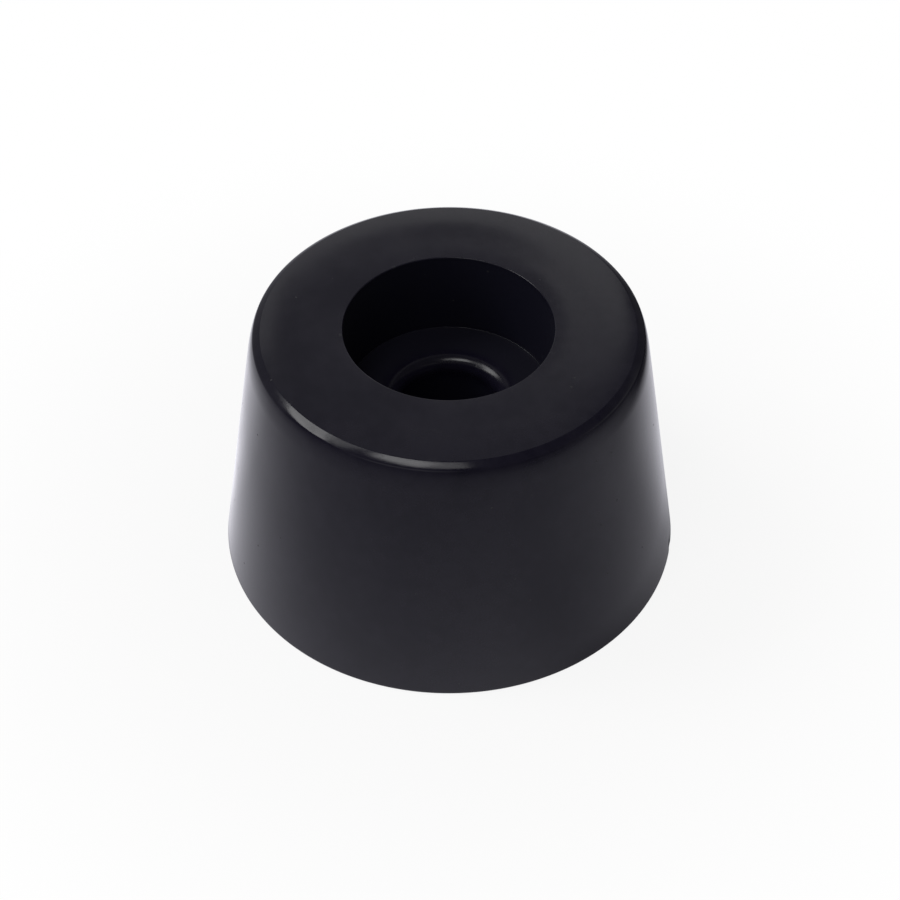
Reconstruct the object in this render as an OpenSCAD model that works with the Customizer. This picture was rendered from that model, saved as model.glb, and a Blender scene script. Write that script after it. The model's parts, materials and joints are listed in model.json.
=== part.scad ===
// Tapered screw-on foot, one moulded solid of revolution.
// Its wide end is fastened against the underside of a case or a desk, and its narrow end
// stands on the table. The screw goes in through the narrow end: its head and washer sit
// on the floor of a deep round recess, and its shank passes down through a round-lipped hole.
// Millimetres. +Z is the axis, from the mounting face at Z = 0 up to the tread.

/* [Body] */
// Diameter of the wide mounting end
base_d = 25; // [24:0.5:40]
// Diameter of the narrow end, to the sharp corner that its rounded edge replaces
tread_d = 20.5; // [15:0.5:23]
// Height from the mounting face to the tread
foot_h = 14.8; // [9:0.2:30]
// Radius of the edge between the flank and the tread
tread_edge_r = 0.6; // [0.2:0.05:1.5]
// Radius of the small break round the mounting face
base_edge_r = 0.15; // [0.05:0.05:1]

/* [Recess] */
// Diameter of the recess, which clears an M5 washer
recess_d = 11; // [8.5:0.1:15]
// Depth of the recess from the tread to the seat of the washer
recess_depth = 5; // [2:0.1:8]
// Radius of the edge round the recess's mouth
mouth_edge_r = 0.2; // [0.05:0.05:0.6]
// Radius of the fillet between the recess's wall and its floor
recess_root_r = 0.25; // [0.05:0.05:0.6]

/* [Screw hole] */
// Diameter of the hole, which clears an M5 screw
hole_d = 5.4; // [3:0.1:6.5]
// Radius of the rounded lip where the hole opens into the recess
hole_lip_r = 0.55; // [0.1:0.05:0.7]
// Radius of the small break where the hole leaves the mounting face
hole_exit_r = 0.15; // [0.05:0.05:0.6]

/* [Hidden] */
// Facets of a full turn in the preview
$fn = 160;

// What a corner disc is larger than its arc, so that it always reaches the two sides
disc_overlap = 0.0001;

// Height of the recess's floor, on which the washer seats
seat_z = foot_h - recess_depth;

// Sharp corners of the half section, radius then height, in order round it
hole_exit = [hole_d / 2, 0];
base_edge = [base_d / 2, 0];
tread_edge = [tread_d / 2, foot_h];
mouth_edge = [recess_d / 2, foot_h];
recess_root = [recess_d / 2, seat_z];
hole_lip = [hole_d / 2, seat_z];

// Each corner with its two neighbours and the radius that rounds it
CORNERS = [
    [hole_lip, hole_exit, base_edge, hole_exit_r],
    [hole_exit, base_edge, tread_edge, base_edge_r],
    [base_edge, tread_edge, mouth_edge, tread_edge_r],
    [tread_edge, mouth_edge, recess_root, mouth_edge_r],
    [mouth_edge, recess_root, hole_lip, recess_root_r],
    [recess_root, hole_lip, hole_exit, hole_lip_r]
];
// The recess's root is the one inner corner
INNER = 4;

function unit(v) = v / norm(v);
// Directions from a corner to its neighbours
function to_before(c) = unit(c[0] - c[1]);
function to_after(c) = unit(c[2] - c[1]);
function half_angle(c) = acos(to_before(c) * to_after(c)) / 2;
// Where the rounding arc meets the two sides of its corner, and the arc's centre
function tangent_length(c) = c[3] / tan(half_angle(c));
function tangent_points(c) = [for (side = [to_before(c), to_after(c)]) c[1] + side * tangent_length(c)];
function arc_centre(c) = c[1] + unit(to_before(c) + to_after(c)) * c[3] / sin(half_angle(c));

module corner_disc(c) {
    translate(arc_centre(c)) circle(r = c[3] + disc_overlap);
}

// Half section of the foot. Straight sides between tangent points, a disc that fills out each
// outer corner, and a disc that hollows out the inner one.
module foot_section() {
    difference() {
        union() {
            polygon([for (c = CORNERS) each tangent_points(c)]);
            for (i = [0 : len(CORNERS) - 1]) if (i != INNER) corner_disc(CORNERS[i]);
        }
        corner_disc(CORNERS[INNER]);
    }
}

// The whole moulding
module foot() {
    color([0.10, 0.10, 0.12]) rotate_extrude() foot_section();
}

foot();
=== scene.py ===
"""Looks of the plastic foot: one satin black moulding, in a plain pale studio.

The photograph shows a single moulding, so one mesh stands for the CAD node. Everything is in metres, in the
CAD frame, and azimuths are measured from the camera's side towards its left. The screens and the paper's
brightness in reflections were tuned by comparing renders, so that the gloss shows what it does in the
photograph.
"""

import json
import math

import bpy
from mathutils import Euler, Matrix, Quaternion, Vector, noise

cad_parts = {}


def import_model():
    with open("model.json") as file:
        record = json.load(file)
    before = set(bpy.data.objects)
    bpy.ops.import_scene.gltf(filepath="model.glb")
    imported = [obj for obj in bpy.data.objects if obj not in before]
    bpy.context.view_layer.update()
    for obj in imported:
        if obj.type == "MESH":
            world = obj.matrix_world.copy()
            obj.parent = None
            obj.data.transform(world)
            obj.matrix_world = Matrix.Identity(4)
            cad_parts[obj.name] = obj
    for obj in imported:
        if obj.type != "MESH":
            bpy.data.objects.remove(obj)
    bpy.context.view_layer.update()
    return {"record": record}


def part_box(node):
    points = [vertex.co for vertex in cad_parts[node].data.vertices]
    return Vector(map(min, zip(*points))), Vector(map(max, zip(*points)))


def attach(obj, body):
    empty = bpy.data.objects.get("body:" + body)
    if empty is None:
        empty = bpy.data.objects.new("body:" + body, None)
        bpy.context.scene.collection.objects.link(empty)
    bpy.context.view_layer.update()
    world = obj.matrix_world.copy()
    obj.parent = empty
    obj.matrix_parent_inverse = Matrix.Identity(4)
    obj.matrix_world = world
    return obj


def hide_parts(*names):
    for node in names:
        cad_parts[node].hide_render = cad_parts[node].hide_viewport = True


MM = 0.001

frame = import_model()
low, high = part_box("foot")
mounts = {mount["name"]: mount for mount in frame["record"]["mounts"]}

# ---------------------------------------------------------------- sizes of the moulding

FOOT_HEIGHT = high.z - low.z
FOOT_CENTRE = Vector((0, 0, FOOT_HEIGHT / 2))
BASE_RADIUS = 12.5 * MM
TREAD_RADIUS = 10.29 * MM
HOLE_RADIUS = mounts["screw_hole"]["dims"]["r_mm"] * MM
RECESS_RADIUS = mounts["washer_recess"]["dims"]["r_mm"] * MM
SEAT_HEIGHT = 9.8 * MM

# Radii of the small curves in the section's corners
HOLE_EXIT_EDGE = 0.15 * MM
BASE_EDGE = 0.15 * MM
MOUTH_EDGE = 0.06 * MM
RECESS_ROOT = 0.015 * MM
HOLE_LIP = 0.75 * MM

# A run's first and last points are this close to its arcs, so that their shading doesn't spread along it
RUN_SUPPORT = 0.02 * MM

# The tread's rim, from the flank up: (last tilt above level in degrees, radius, steps) of each arc in turn
FLANK_TILT = math.atan((BASE_RADIUS - TREAD_RADIUS) / FOOT_HEIGHT)
RIM_ARCS = (
    (14.0, 8.6 * MM, 7),
    (22.0, 3.0 * MM, 4),
    (52.0, 0.32 * MM, 6),
    (60.0, 2.7 * MM, 7),
    (86.3, 0.10 * MM, 4),
)

# The rim's place among the section's corners
RIM = 2

# The tread is flat inside and eases over towards its rim, as moulded faces do
CROWN_START = 7.7 * MM
CROWN_FALL = 0.063 * MM
CROWN_POWER = 2.17
CROWN_ROOT = 11.0 * MM
MOUTH_SINK = 0.018 * MM
MOUTH_SINK_REACH = 1.1 * MM

# Steps round the axis
SEGMENTS = 540

# Unevenness of the moulded skin: waves that pull it in, in size and depth. The fine ones are deepest on the
# edges, and elsewhere keep a share of their depth.
SLOW_WAVE = 6.0 * MM
SLOW_WAVE_DEPTH = 0.008 * MM
RIM_WAVE = 1.3 * MM
RIM_WAVE_DEPTH = 0.005 * MM
RIM_WAVE_ON_FACES = 0.2
RIM_WAVE_SHIFT = Vector((7, 3, 1))

# Edges that get rubbed: how far the wear reaches, and how far inside the sharp corner the rim's lies
EDGE_WEAR_REACH = 0.35 * MM
RIM_WEAR_INSET = 0.2 * MM

# Where the core pin's finishes, and the painted shade on the wall, fade in: below the mouth, above the seat,
# and in radii of the hole's lip
MOUTH_FADE = 0.15 * MM
WALL_FADE_TO = 0.05 * MM
LIP_FADE_FROM = 0.9
HOLE_FADE_TO = 2.0
SEAT_FADE_TO = 1.6

# The hole's rubbed lip has this share of the seat's finish
LIP_DULLNESS = 0.5

# Small knocks: (azimuth in degrees, radius, height, depth, reach)
KNOCKS = (
    (-80.5, 12.45 * MM, 0.35 * MM, 0.16 * MM, 0.22 * MM),
    (41.5, 10.05 * MM, 14.62 * MM, 0.016 * MM, 0.42 * MM),
    (-47.5, 9.95 * MM, 14.75 * MM, 0.025 * MM, 0.16 * MM),
)

# ---------------------------------------------------------------- the plastic's colours and finish

WHITE = (1, 1, 1, 1)
PLASTIC_DARK = (0.0056, 0.0048, 0.0116, 1)
PLASTIC_LIGHT = (0.0092, 0.0081, 0.0160, 1)
# The recess wall's and the hole's colour, darker than the plastic: painted shade
WALL_PAINTED_SHADE = (0.0044, 0.0041, 0.0140, 1)
PIN_SEAT = (0.0096, 0.0093, 0.0155, 1)
WORN = (0.016, 0.016, 0.022, 1)
DUST = (0.032, 0.032, 0.036, 1)

PLASTIC_IOR = 1.36
PLASTIC_SHEEN = 0.5
PIN_WALL_SHEEN = 0.36

# Roughness: the outside's, how much its clouds and grain change it, and that of the other finishes
POLISH = 0.14
CLOUD_SHINIER = 0.02
CLOUD_DULLER = 0.04
GRAIN_ROUGHNESS = 0.015
PIN_WALL_ROUGHNESS = 0.75
PIN_SEAT_ROUGHNESS = 0.24
WORN_ROUGHNESS = 0.34
DUST_ROUGHNESS = 0.75

# Sizes of the skin's patterns, and the range that most of their noise lies in
CLOUD_SIZE = 3.5 * MM
MOTTLE_SIZE = 0.7 * MM
GRAIN_SIZE = 0.16 * MM
SCUFF_SIZE = 0.9 * MM
SCUFF_RAGGEDNESS = 0.65
NOISE_LOW = 0.3
NOISE_HIGH = 0.7

# Flow marks are mostly clouds and partly mottle, and show between these noise values
CLOUD_SHARE = 0.6
MOTTLE_SHARE = 0.4
FLOW_FROM = 0.36
FLOW_TO = 0.64

# Edges are rubbed where the scuffs' noise is high
RUB_FROM = 0.60
RUB_TO = 0.74

# Dust: the cells that hold one speck each, the speck's core and edge in cells, and how far it covers
DUST_CELL = 1.5 * MM
SPECK_CORE = 0.030
SPECK_EDGE = 0.050
SPECK_COVER = 0.75

# The skin's fine bump
SKIN_DEPTH = 0.0012 * MM
GRAIN_HEIGHT = 0.30

# ---------------------------------------------------------------- the studio and the camera

CAMERA_ELEVATION = math.radians(44.50)
CAMERA_DISTANCE = 120.25 * MM
CAMERA_DROP = math.radians(0.572)
CAMERA_PAN = math.radians(0.032)
CAMERA_ROLL = math.radians(-0.18)
CAMERA_LENS = 88.80
CAMERA_CLIP_START = 0.002

# The paper, and how it turns white to the camera away from the foot's shadow
WORLD_FILL = 0.35
FLOOR_HALF = 3.0
PAPER = 0.93
WHITE_FROM = 14 * MM
WHITE_TO = 38 * MM
WHITE_NEAR = 0.88

# Distances of the lamps and screens from the foot, and the screens' steps in degrees
SOFTBOX_AT = 0.6
GLOW_AT = 0.29
FRONT_AT = 0.30
SIDE_AT = 0.31
BACK_AT = 0.5
FADE_AT = 0.55
CEILING_AT = 0.9
SCREEN_STEP = 3

# Elevations of the room's edges in degrees: just under the horizon, the walls' top, and the ceiling's bands
SKIRT = -2
WALL_TOP = 42
CEILING_EDGE = 42.6
CEILING_MIDDLE = 62
CEILING_INNER = 74
ZENITH = 90

# Brightness of the room's walls where a glow stands before them
FRONT_WALL = 0.08
RIGHT_WALL = 0.12

# Painted light and shadow that the gloss sees on the paper, by the distance from the foot's axis and by the
# heading's X and Y
PAPER_FROM = BASE_RADIUS - 0.2 * MM
PAPER_TO = BASE_RADIUS + 0.1 * MM
FRONT_FULL = 11.1 * MM
FRONT_FADE = 0.68
LEFT_NEAR_FROM = 13 * MM
LEFT_NEAR_TO = 20 * MM
LEFT_NEAR = 1.2
LEFT_MIDDLE = 0.86
LEFT_FAR_FROM = 23 * MM
LEFT_FAR_TO = 30 * MM
LEFT_FAR = 0.73
LEFT_TURN_FROM = 0.10
LEFT_TURN_TO = 0.35
LEFT_BEHIND = 1.30
RIGHT_TURN_FROM = -0.14
RIGHT_TURN_TO = 0.40
RIGHT_ABREAST = 0.50
RIGHT_BEHIND = 0.88
RIGHT_RISE_FROM = 21 * MM
RIGHT_RISE_TO = 28 * MM
RIGHT_RISE = 0.12
RIGHT_NEAR_FROM = 12.7 * MM
RIGHT_NEAR_TO = 14 * MM
RIGHT_NEAR = 0.7
RIGHT_FAR_FROM = 21 * MM
RIGHT_FAR_TO = 32 * MM
RIGHT_FAR_TURN = 0.30
RIGHT_FAR_ABREAST = 0.80
RIGHT_FAR_BEHIND = 0.06
BEHIND_FROM = -0.70
BEHIND_TO = 0.25
ON_RIGHT_FROM = 0.20
ON_RIGHT_TO = 0.70
FAR_FROM = 33 * MM
FAR_TO = 80 * MM
FAR_GLOW = 0.35
GLOSS_GAIN = 1.09
GLOSS_TINT = (0.926, 0.917, 1.0, 1)


# ---------------------------------------------------------------- the moulding's section


def corner(radius, height, edge, arc_steps, run_steps):
    """A corner of the section, with its small radius, and the steps on its arc and on the run after it."""
    return {
        "at": Vector((radius, height)),
        "edge": edge,
        "arc_steps": arc_steps,
        "run_steps": run_steps,
    }


def section_corners():
    """The closed section, from the screw hole's lower end outwards and back down the hole."""
    return [
        corner(HOLE_RADIUS, 0.0, HOLE_EXIT_EDGE, arc_steps=4, run_steps=6),
        corner(BASE_RADIUS, 0.0, BASE_EDGE, arc_steps=7, run_steps=30),
        corner(TREAD_RADIUS, FOOT_HEIGHT, 0.0, arc_steps=0, run_steps=22),
        corner(RECESS_RADIUS, FOOT_HEIGHT, MOUTH_EDGE, arc_steps=8, run_steps=12),
        corner(RECESS_RADIUS, SEAT_HEIGHT, RECESS_ROOT, arc_steps=5, run_steps=9),
        corner(HOLE_RADIUS, SEAT_HEIGHT, HOLE_LIP, arc_steps=14, run_steps=12),
    ]


def arc_points(before, here, after, edge, steps):
    """Points on the arc that rounds the corner between two runs, first to last."""
    back = (before - here).normalized()
    ahead = (after - here).normalized()
    half = back.angle(ahead) / 2
    centre = here + (back + ahead).normalized() * (edge / math.sin(half))
    start = here + back * (edge / math.tan(half)) - centre
    turn = math.pi - 2 * half
    side = 1 if back.x * ahead.y - back.y * ahead.x < 0 else -1
    points = []
    for i in range(steps + 1):
        angle = side * turn * i / steps
        spun = Vector((
            start.x * math.cos(angle) - start.y * math.sin(angle),
            start.x * math.sin(angle) + start.y * math.cos(angle),
        ))
        points.append(centre + spun)
    return points


def rim_points():
    """The rim's chain of arcs, from its meeting with the flank up and in to the tread."""
    tilts = [FLANK_TILT] + [math.radians(arc[0]) for arc in RIM_ARCS]
    rise = 0.0
    for i, (_, radius, _) in enumerate(RIM_ARCS):
        rise += radius * (math.sin(tilts[i + 1]) - math.sin(tilts[i]))
    start_height = FOOT_HEIGHT - rise
    start_radius = BASE_RADIUS - start_height * math.tan(FLANK_TILT)
    here = Vector((start_radius, start_height))
    points = [here]
    for i, (_, radius, steps) in enumerate(RIM_ARCS):
        centre = here - radius * Vector((math.cos(tilts[i]), math.sin(tilts[i])))
        for step in range(1, steps + 1):
            tilt = tilts[i] + (tilts[i + 1] - tilts[i]) * step / steps
            points.append(centre + radius * Vector((math.cos(tilt), math.sin(tilt))))
        here = points[-1]
    return points


def section_arcs(corners):
    """The arc at each corner, which at the tread's rim is a chain of arcs."""
    arcs = []
    for i, this in enumerate(corners):
        if i == RIM:
            arcs.append(rim_points())
            continue
        before = corners[i - 1]["at"]
        after = corners[(i + 1) % len(corners)]["at"]
        arcs.append(arc_points(before, this["at"], after, this["edge"], this["arc_steps"]))
    return arcs


def tread_crown(radius, rim_inside):
    """How far the tread has fallen at this radius: fully at the rim, and a little round the mouth."""
    share = (radius - CROWN_START) / (rim_inside - CROWN_START)
    near_mouth = 1 - (radius - RECESS_RADIUS) / MOUTH_SINK_REACH
    fall = CROWN_FALL * min(1.0, max(0.0, share)) ** CROWN_POWER
    return fall + MOUTH_SINK * min(1.0, max(0.0, near_mouth)) ** 2


def section_points():
    """Every point of the closed section: each corner's arc, then the run to the next arc."""
    corners = section_corners()
    arcs = section_arcs(corners)
    rim_inside = arcs[RIM][-1].x
    points = []
    for i, this in enumerate(corners):
        points.extend(point.copy() for point in arcs[i])
        run_start = arcs[i][-1]
        run_end = arcs[(i + 1) % len(corners)][0]
        support = RUN_SUPPORT / (run_end - run_start).length
        shares = [step / this["run_steps"] for step in range(1, this["run_steps"])]
        for share in [support] + shares + [1 - support]:
            points.append(run_start.lerp(run_end, share))
    inside_box = min(high.x, -low.x, high.y, -low.y) / max(point.x for point in points)
    for point in points:
        above_flank = (point.y - CROWN_ROOT) / (FOOT_HEIGHT - CROWN_ROOT)
        point.y -= tread_crown(point.x, rim_inside) * min(1.0, max(0.0, above_flank))
        point.x *= inside_box
    return points


def section_normals(points):
    """The outward normal at each point of the section."""
    normals = []
    for i, point in enumerate(points):
        along = (points[(i + 1) % len(points)] - points[i - 1]).normalized()
        normals.append(Vector((along.y, -along.x)))
    return normals


# ---------------------------------------------------------------- the finish along the section


def ease(value, start, end):
    """0 before the start, 1 after the end, and smooth between them."""
    share = min(1.0, max(0.0, (value - start) / (end - start)))
    return share * share * (3 - 2 * share)


def pin_wall_and_painted_shade(point):
    """1 on the recess's wall and down the hole, where the mould's core pin leaves its dull finish and the
    colour is darkened as painted shade.
    """
    if point.x > RECESS_RADIUS + MOUTH_EDGE / 2:
        return 0.0
    below_mouth = ease(FOOT_HEIGHT - point.y, 0.0, MOUTH_FADE)
    on_wall = ease(point.y - SEAT_HEIGHT, RECESS_ROOT, WALL_FADE_TO)
    down_hole = ease(SEAT_HEIGHT - point.y, HOLE_LIP * LIP_FADE_FROM, HOLE_LIP * HOLE_FADE_TO)
    return below_mouth * max(on_wall, down_hole)


def pin_seat(point):
    """1 on the recess's seat, which is smoother than its wall, and less on the hole's rubbed lip."""
    if point.x > RECESS_RADIUS + MOUTH_EDGE / 2 or point.y > SEAT_HEIGHT + RECESS_ROOT:
        return 0.0
    on_seat = ease(point.x - HOLE_RADIUS, HOLE_LIP * LIP_FADE_FROM, HOLE_LIP * SEAT_FADE_TO)
    return LIP_DULLNESS + (1 - LIP_DULLNESS) * on_seat


def edge_wear(point):
    """1 on the edges that get handled and rubbed, fading over a short way."""
    edges = (
        Vector((TREAD_RADIUS - RIM_WEAR_INSET, FOOT_HEIGHT)),
        Vector((BASE_RADIUS, 0.0)),
        Vector((RECESS_RADIUS, FOOT_HEIGHT)),
    )
    nearest = min((point - edge).length for edge in edges)
    return math.exp(-(nearest / EDGE_WEAR_REACH) ** 2)


# ---------------------------------------------------------------- the skin and the mesh


def knock_depth(place):
    """How far the small knocks push the skin in at this place."""
    depth = 0.0
    for azimuth, radius, height, deepest, reach in KNOCKS:
        turned = math.radians(azimuth)
        centre = Vector((-radius * math.sin(turned), -radius * math.cos(turned), height))
        depth += deepest * math.exp(-((place - centre).length / reach) ** 2)
    return depth


def wave_depth(place, wear):
    """How far the moulded skin's slow and fine waves pull it in at this place."""
    slow = 0.5 + 0.5 * noise.noise(place / SLOW_WAVE)
    fine = 0.5 + 0.5 * noise.noise(place / RIM_WAVE + RIM_WAVE_SHIFT)
    fine_share = RIM_WAVE_ON_FACES + (1 - RIM_WAVE_ON_FACES) * wear
    return SLOW_WAVE_DEPTH * slow + RIM_WAVE_DEPTH * fine * fine_share


def foot_vertices(section, wear):
    """The section's points turned round the axis, and pulled in by the skin's waves and knocks."""
    normals = section_normals(section)
    vertices = []
    for i in range(SEGMENTS):
        angle = 2 * math.pi * i / SEGMENTS
        turned = Vector((math.cos(angle), math.sin(angle)))
        for j, point in enumerate(section):
            place = Vector((point.x * turned.x, point.x * turned.y, point.y))
            above_base = ease(point.y, 0.0, BASE_EDGE)
            depth = (wave_depth(place, wear[j]) + knock_depth(place)) * above_base
            radius = point.x - depth * normals[j].x
            height = point.y - depth * normals[j].y
            vertices.append((radius * turned.x, radius * turned.y, height))
    return vertices


def foot_faces(count):
    """Quads between each turned section of this many points and the next."""
    faces = []
    for i in range(SEGMENTS):
        this_ring = i * count
        next_ring = ((i + 1) % SEGMENTS) * count
        for j in range(count):
            k = (j + 1) % count
            faces.append((this_ring + j, next_ring + j, next_ring + k, this_ring + k))
    return faces


def foot_mesh():
    """The section turned round the axis as one closed mesh of quads, with its finish kept on the points."""
    section = section_points()
    wear = [edge_wear(point) for point in section]
    finishes = {
        "pin_wall_and_painted_shade": [pin_wall_and_painted_shade(point) for point in section],
        "pin_seat": [pin_seat(point) for point in section],
        "edge_wear": wear,
    }
    mesh = bpy.data.meshes.new("foot_moulding")
    mesh.from_pydata(foot_vertices(section, wear), [], foot_faces(len(section)))
    mesh.update()
    mesh.polygons.foreach_set("use_smooth", [True] * len(mesh.polygons))
    for name, shares in finishes.items():
        mesh.attributes.new(name, "FLOAT", "POINT").data.foreach_set("value", shares * SEGMENTS)
    return mesh


# ---------------------------------------------------------------- helpers for nodes and objects


class Tree:
    """Adds and joins the nodes of one material or world."""

    def __init__(self, owner):
        owner.use_nodes = True
        self.nodes = owner.node_tree.nodes
        self.links = owner.node_tree.links

    def add(self, kind, inputs=None, **settings):
        """A node with its settings, and its inputs joined to sockets or set to values."""
        made = self.nodes.new(kind)
        for name, value in settings.items():
            setattr(made, name, value)
        for key, value in (inputs or {}).items():
            self.feed(made.inputs[key], value)
        return made

    def feed(self, socket, value):
        """Joins an input to another node's output, or sets it to a plain value."""
        if isinstance(value, bpy.types.NodeSocket):
            self.links.new(value, socket)
        else:
            socket.default_value = value

    def show(self, shader):
        """Makes this node's shader the material's surface."""
        self.feed(self.nodes["Material Output"].inputs["Surface"], shader.outputs[0])

    def attribute(self, name):
        """A number that the mesh keeps on its points."""
        return self.add("ShaderNodeAttribute", attribute_name=name).outputs["Fac"]

    def math(self, operation, first, second):
        """Two numbers put together by the operation."""
        return self.add("ShaderNodeMath", {0: first, 1: second}, operation=operation).outputs[0]

    def ramp(self, value, start, end, at_start, at_end, kind="LINEAR"):
        """The value's share of the way from start to end, as a number from at_start to at_end."""
        inputs = {"Value": value, "From Min": start, "From Max": end, "To Min": at_start, "To Max": at_end}
        return self.add("ShaderNodeMapRange", inputs, interpolation_type=kind).outputs[0]

    def rise(self, value, start, end):
        """0 up to the start, 1 from the end on, and smooth between them."""
        return self.ramp(value, start, end, 0.0, 1.0, "SMOOTHSTEP")

    def blend(self, share, first, second):
        """A number that goes from the first to the second with the share."""
        mix = self.add("ShaderNodeMix", {0: share, 2: first, 3: second}, data_type="FLOAT")
        return mix.outputs[0]

    def tint(self, share, first, second):
        """A colour that goes from the first to the second with the share."""
        mix = self.add("ShaderNodeMix", {0: share, 6: first, 7: second}, data_type="RGBA")
        return mix.outputs[2]

    def noise(self, place, size, detail, rough=0.5):
        """Smooth noise with features of about the given size in metres."""
        inputs = {"Vector": place, "Scale": 1 / size, "Detail": detail, "Roughness": rough}
        return self.add("ShaderNodeTexNoise", inputs).outputs[0]


def bare_material(name):
    """A material with nothing but its output yet, and the tree to fill it."""
    material = bpy.data.materials.new(name)
    tree = Tree(material)
    tree.nodes.remove(tree.nodes["Principled BSDF"])
    return material, tree


def add_object(name, data):
    """A new object in the scene."""
    made = bpy.data.objects.new(name, data)
    bpy.context.collection.objects.link(made)
    return made


# ---------------------------------------------------------------- the plastic


def plastic_colour(tree, shade, seat, wall, rubbed, dusty):
    """Black with flow marks, a tone of its own on the seat, painted shade on the recess wall and hole, and
    paler rubs and dust.
    """
    colour = tree.tint(shade, PLASTIC_DARK, PLASTIC_LIGHT)
    colour = tree.tint(tree.ramp(seat, LIP_DULLNESS, 1.0, 0.0, 1.0), colour, PIN_SEAT)
    # Painted shade: the recess wall and the hole take a darker colour
    colour = tree.tint(wall, colour, WALL_PAINTED_SHADE)
    colour = tree.tint(rubbed, colour, WORN)
    return tree.tint(dusty, colour, DUST)


def plastic_roughness(tree, clouds, grain, seat, wall, rubbed, dusty):
    """Polished outside with a little unevenness, and duller where pins, rubs and dust have been."""
    rough = tree.ramp(clouds, NOISE_LOW, NOISE_HIGH, POLISH - CLOUD_SHINIER, POLISH + CLOUD_DULLER)
    uneven = tree.ramp(grain, NOISE_LOW, NOISE_HIGH, -GRAIN_ROUGHNESS, GRAIN_ROUGHNESS)
    rough = tree.math("ADD", rough, uneven)
    rough = tree.blend(seat, rough, PIN_SEAT_ROUGHNESS)
    rough = tree.blend(wall, rough, PIN_WALL_ROUGHNESS)
    rough = tree.blend(rubbed, rough, WORN_ROUGHNESS)
    return tree.blend(dusty, rough, DUST_ROUGHNESS)


def plastic():
    """Satin black moulded plastic: faint flow marks, a fine skin, duller pin-formed faces with painted shade
    on the recess wall, wear and dust.
    """
    material = bpy.data.materials.new("satin_black_plastic")
    tree = Tree(material)
    place = tree.add("ShaderNodeTexCoord").outputs["Object"]
    wall = tree.attribute("pin_wall_and_painted_shade")
    seat = tree.attribute("pin_seat")
    edge = tree.attribute("edge_wear")

    clouds = tree.noise(place, CLOUD_SIZE, detail=3)
    mottle = tree.noise(place, MOTTLE_SIZE, detail=2)
    grain = tree.noise(place, GRAIN_SIZE, detail=2)
    scuff = tree.noise(place, SCUFF_SIZE, detail=4, rough=SCUFF_RAGGEDNESS)
    specks = tree.add("ShaderNodeTexVoronoi", {"Vector": place, "Scale": 1 / DUST_CELL})

    cloudy = tree.math("MULTIPLY", clouds, CLOUD_SHARE)
    mottled = tree.math("MULTIPLY", mottle, MOTTLE_SHARE)
    shade = tree.rise(tree.math("ADD", cloudy, mottled), FLOW_FROM, FLOW_TO)
    rubbed = tree.math("MULTIPLY", edge, tree.rise(scuff, RUB_FROM, RUB_TO))
    dusty = tree.ramp(specks.outputs["Distance"], SPECK_CORE, SPECK_EDGE, SPECK_COVER, 0.0, "SMOOTHSTEP")
    skin = tree.math("ADD", mottle, tree.math("MULTIPLY", grain, GRAIN_HEIGHT))
    bump = tree.add("ShaderNodeBump", {"Strength": 1.0, "Distance": SKIN_DEPTH, "Height": skin})

    inputs = tree.nodes["Principled BSDF"].inputs
    tree.feed(inputs["IOR"], PLASTIC_IOR)
    tree.feed(inputs["Base Color"], plastic_colour(tree, shade, seat, wall, rubbed, dusty))
    tree.feed(inputs["Specular IOR Level"], tree.blend(wall, PLASTIC_SHEEN, PIN_WALL_SHEEN))
    tree.feed(inputs["Roughness"], plastic_roughness(tree, clouds, grain, seat, wall, rubbed, dusty))
    tree.feed(inputs["Normal"], bump.outputs[0])
    return material


# ---------------------------------------------------------------- lamps and screens


def only_gloss(item):
    """Keeps a screen out of every view but the reflections."""
    item.visible_camera = False
    item.visible_diffuse = False
    item.visible_shadow = False
    item.visible_transmission = False
    item.visible_volume_scatter = False


def direction(azimuth, elevation):
    """Unit vector from the foot: azimuth 0 is the camera's side, and 90 is on the camera's left."""
    a = math.radians(azimuth)
    e = math.radians(elevation)
    return Vector((-math.sin(a) * math.cos(e), -math.cos(a) * math.cos(e), math.sin(e)))


def softbox(name, azimuth, elevation, across, along, radiance, twist=0):
    """An area light facing the foot; across and along are its angular sizes in degrees."""
    light = bpy.data.lights.new(name, "AREA")
    light.shape = "RECTANGLE"
    light.size = 2 * SOFTBOX_AT * math.tan(math.radians(across / 2))
    light.size_y = 2 * SOFTBOX_AT * math.tan(math.radians(along / 2))
    light.energy = radiance * math.pi * light.size * light.size_y
    lamp = add_object(name, light)
    lamp.location = FOOT_CENTRE + direction(azimuth, elevation) * SOFTBOX_AT
    aim = direction(azimuth, elevation).to_track_quat("Z", "Y")
    lamp.rotation_euler = (aim @ Quaternion((0, 0, 1), math.radians(twist))).to_euler()
    lamp.visible_camera = False


def steps_over(ends):
    """How many steps a range of degrees is cut into."""
    return max(2, round(abs(ends[1] - ends[0]) / SCREEN_STEP))


def between(ends, step, steps):
    """The angle at this step of the way from the first end to the second."""
    return ends[0] + (ends[1] - ends[0]) * step / steps


def screen_mesh(name, azimuths, elevations, distance):
    """Part of a sphere round the foot, whose points know how far they are from its edges."""
    steps_across = steps_over(azimuths)
    steps_up = steps_over(elevations)
    vertices = []
    shares = []
    for i in range(steps_across + 1):
        azimuth = between(azimuths, i, steps_across)
        for j in range(steps_up + 1):
            elevation = between(elevations, j, steps_up)
            vertices.append(FOOT_CENTRE + direction(azimuth, elevation) * distance)
            shares.append(math.sin(math.pi * i / steps_across) * math.sin(math.pi * j / steps_up))
    faces = []
    for i in range(steps_across):
        for j in range(steps_up):
            first = i * (steps_up + 1) + j
            faces.append((first, first + 1, first + steps_up + 2, first + steps_up + 1))
    mesh = bpy.data.meshes.new(name)
    mesh.from_pydata(vertices, [], faces)
    mesh.attributes.new("from_edge", "FLOAT", "POINT").data.foreach_set("value", shares)
    return mesh


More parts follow.
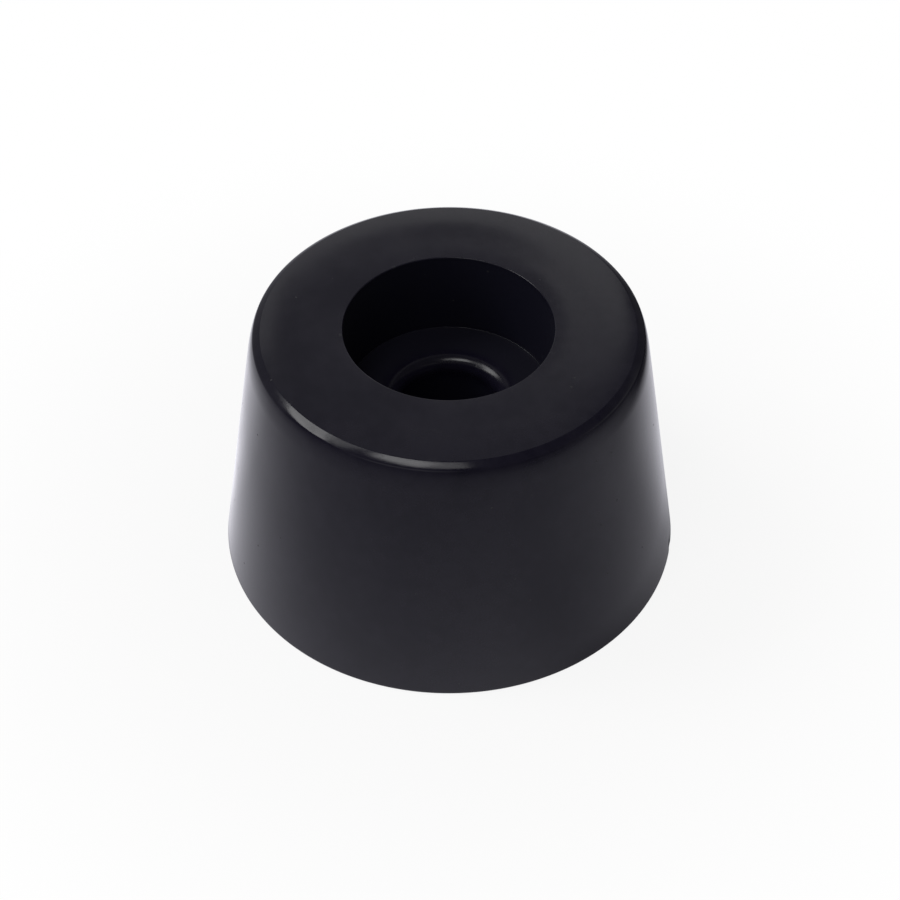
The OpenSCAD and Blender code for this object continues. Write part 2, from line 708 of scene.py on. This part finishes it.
def screen(name, azimuths, elevations, brightness, distance, edge_brightness=None):
    """A curved screen over ranges of degrees that only the gloss sees, even or fading to its edges."""
    mesh = screen_mesh(name, azimuths, elevations, distance)
    panel = add_object(name, mesh)
    material, tree = bare_material(name)
    strength = brightness
    if edge_brightness is not None:
        strength = tree.blend(tree.attribute("from_edge"), edge_brightness, brightness)
    tree.show(tree.add("ShaderNodeEmission", {"Color": WHITE, "Strength": strength}))
    mesh.materials.append(material)
    only_gloss(panel)


# ---------------------------------------------------------------- the paper and the world


def painted_light_on_left_paper(tree, away, back):
    """Painted light on the paper on the lit left: highest near the foot and behind it."""
    left = tree.ramp(away, LEFT_NEAR_FROM, LEFT_NEAR_TO, LEFT_NEAR, LEFT_MIDDLE)
    left = tree.math("MULTIPLY", left, tree.ramp(away, LEFT_FAR_FROM, LEFT_FAR_TO, 1.0, LEFT_FAR))
    return tree.math("MULTIPLY", left, tree.ramp(back, LEFT_TURN_FROM, LEFT_TURN_TO, 1.0, LEFT_BEHIND))


def painted_shadow_on_right_paper(tree, away, back):
    """The foot's painted shadow on the paper on the right: dim abreast, higher close behind, and dark far
    behind.
    """
    right = tree.ramp(back, RIGHT_TURN_FROM, RIGHT_TURN_TO, RIGHT_ABREAST, RIGHT_BEHIND, "SMOOTHSTEP")
    right = tree.math("ADD", right, tree.ramp(away, RIGHT_RISE_FROM, RIGHT_RISE_TO, 0.0, RIGHT_RISE))
    right = tree.math("MULTIPLY", right, tree.ramp(away, RIGHT_NEAR_FROM, RIGHT_NEAR_TO, RIGHT_NEAR, 1.0))
    far = tree.rise(away, RIGHT_FAR_FROM, RIGHT_FAR_TO)
    far_glow = tree.ramp(back, -RIGHT_FAR_TURN, RIGHT_FAR_TURN, RIGHT_FAR_ABREAST, RIGHT_FAR_BEHIND)
    return tree.math("MULTIPLY", right, tree.blend(far, 1.0, far_glow))


def painted_paper_glow(tree, place, away):
    """How bright the gloss finds the paper, as painted light and shade: falling off in front, lit on the
    left, the foot's shadow on the right, and dark under the foot.
    """
    heading = tree.add("ShaderNodeVectorMath", {0: place}, operation="NORMALIZE")
    parts = tree.add("ShaderNodeSeparateXYZ", {0: heading.outputs[0]})
    side = parts.outputs["X"]
    back = parts.outputs["Y"]
    fade = tree.ramp(away, FAR_FROM, FAR_TO, 1.0, FAR_GLOW)
    front = tree.math("POWER", tree.math("DIVIDE", FRONT_FULL, away), FRONT_FADE)
    left = tree.math("MULTIPLY", painted_light_on_left_paper(tree, away, back), fade)
    right = tree.math("MULTIPLY", painted_shadow_on_right_paper(tree, away, back), fade)
    behind = tree.rise(back, BEHIND_FROM, BEHIND_TO)
    on_right = tree.rise(side, ON_RIGHT_FROM, ON_RIGHT_TO)
    paper = tree.blend(on_right, tree.blend(behind, front, left), right)
    # Painted shade: under the foot the paper is dark in the gloss
    beyond_base = tree.ramp(away, PAPER_FROM, PAPER_TO, 0.0, GLOSS_GAIN)
    return tree.math("MULTIPLY", beyond_base, paper)


def floor_material():
    """Paper that the camera sees as plain white far from the foot, and the gloss as a glow of painted light
    and shadow.
    """
    material, tree = bare_material("floor")
    place = tree.add("ShaderNodeTexCoord").outputs["Object"]
    away = tree.add("ShaderNodeVectorMath", {0: place}, operation="LENGTH").outputs["Value"]
    path = tree.add("ShaderNodeLightPath").outputs
    mirrored = tree.math("MAXIMUM", path["Is Glossy Ray"], path["Is Transmission Ray"])
    whiteness = tree.ramp(away, WHITE_FROM, WHITE_TO, WHITE_NEAR, 1.0, "SMOOTHSTEP")
    seen = tree.math("MAXIMUM", tree.math("MULTIPLY", path["Is Camera Ray"], whiteness), mirrored)
    strength = tree.blend(mirrored, 1.0, painted_paper_glow(tree, place, away))
    hue = tree.tint(mirrored, WHITE, GLOSS_TINT)
    paper = tree.add("ShaderNodeBsdfDiffuse", {"Color": (PAPER, PAPER, PAPER, 1)})
    white = tree.add("ShaderNodeEmission", {"Color": hue, "Strength": strength})
    tree.show(tree.add("ShaderNodeMixShader", {0: seen, 1: paper.outputs[0], 2: white.outputs[0]}))
    return material


def floor():
    """Pale paper that keeps the foot's soft shadow."""
    mesh = bpy.data.meshes.new("floor")
    half = FLOOR_HALF
    places = [(-half, -half, 0), (half, -half, 0), (half, half, 0), (-half, half, 0)]
    mesh.from_pydata(places, [], [(0, 1, 2, 3)])
    panel = add_object("floor", mesh)
    mesh.materials.append(floor_material())


def world():
    """White to the camera and in reflections, and a soft fill otherwise."""
    made = bpy.data.worlds.new("studio")
    bpy.context.scene.world = made
    tree = Tree(made)
    path = tree.add("ShaderNodeLightPath").outputs
    seen = tree.math("MAXIMUM", path["Is Camera Ray"], path["Is Glossy Ray"])
    seen = tree.math("MAXIMUM", seen, path["Is Transmission Ray"])
    back = tree.nodes["Background"]
    tree.feed(back.inputs["Color"], WHITE)
    tree.feed(back.inputs["Strength"], tree.blend(seen, WORLD_FILL, 1.0))


# ---------------------------------------------------------------- putting it together


def foot():
    """The one visible piece, which stands for the CAD node."""
    piece = add_object("foot_moulding", foot_mesh())
    piece.data.materials.append(plastic())
    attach(piece, "root")
    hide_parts("foot")


def camera():
    """The photograph's viewpoint, between 44 and 45 degrees up in front of the foot."""
    data = bpy.data.cameras.new("camera")
    data.lens = CAMERA_LENS
    data.clip_start = CAMERA_CLIP_START
    made = add_object("camera", data)
    made.location = FOOT_CENTRE + direction(0, math.degrees(CAMERA_ELEVATION)) * CAMERA_DISTANCE
    aim = Euler((math.pi / 2 - CAMERA_ELEVATION - CAMERA_DROP, 0, -CAMERA_PAN)).to_quaternion()
    made.rotation_euler = (aim @ Quaternion((0, 0, 1), CAMERA_ROLL)).to_euler()
    bpy.context.scene.camera = made


def lights():
    """Two soft boxes: one high on the front left, and a larger one on the left."""
    softbox("overhead_softbox", azimuth=38, elevation=67, across=20, along=15, radiance=5.7)
    softbox("left_softbox", azimuth=97.5, elevation=47.0, across=20, along=30, radiance=5.3, twist=41)


def screens():
    """The room as the gloss sees it: dark in front, at the sides and above, and lighter behind."""
    screen("front_screen", (-60, 60), (SKIRT, WALL_TOP), FRONT_WALL, FRONT_AT)
    screen("right_back_screen", (-166.5, -140), (SKIRT, WALL_TOP), 0.11, SIDE_AT)
    screen("right_back_top", (-166.5, -140), (WALL_TOP, 60), 0.20, SIDE_AT)
    screen("right_screen", (-140, -60), (SKIRT, WALL_TOP), RIGHT_WALL, SIDE_AT)
    screen("right_top_screen", (-140, -60), (WALL_TOP, 60), 0.07, SIDE_AT)
    screen("left_screen", (60, 90), (SKIRT, 34), 0.10, SIDE_AT)
    screen("left_back_screen", (90, 150), (SKIRT, 36), 0.28, SIDE_AT)
    screen("left_back_top", (113, 150), (36, 44), 0.28, SIDE_AT)
    screen("ceiling_behind", (140, 220), (CEILING_EDGE, CEILING_MIDDLE), 0.35, CEILING_AT)
    screen("ceiling_behind_top", (140, 220), (CEILING_MIDDLE, CEILING_INNER), 0.20, CEILING_AT)
    screen("ceiling_front", (-140, 140), (CEILING_EDGE, CEILING_INNER), 0.08, CEILING_AT)
    screen("ceiling_top", (-180, 180), (CEILING_INNER, ZENITH), 0.08, CEILING_AT)
    screen("back_top_screen", (168.5, 183.3), (37.0, 44), 0.35, BACK_AT)
    screen("back_low_screen", (150, 188), (SKIRT, 26), 0.28, BACK_AT)


def glows():
    """Bright patches in the gloss: two that fade into the walls behind them, and two beside the lamps."""
    screen("front_glow", (-10, 58), (4, 32), 0.75, GLOW_AT, edge_brightness=FRONT_WALL)
    screen("right_glow", (-125, -65), (4, 30), 0.45, GLOW_AT, edge_brightness=RIGHT_WALL)
    screen("overhead_fade", (-14, 12), (60, 74), 2.4, FADE_AT)
    screen("left_fade", (70, 86), (48, 66), 2.0, FADE_AT)


foot()
floor()
world()
camera()
lights()
screens()
glows()

bpy.context.scene.view_settings.view_transform = "Standard"
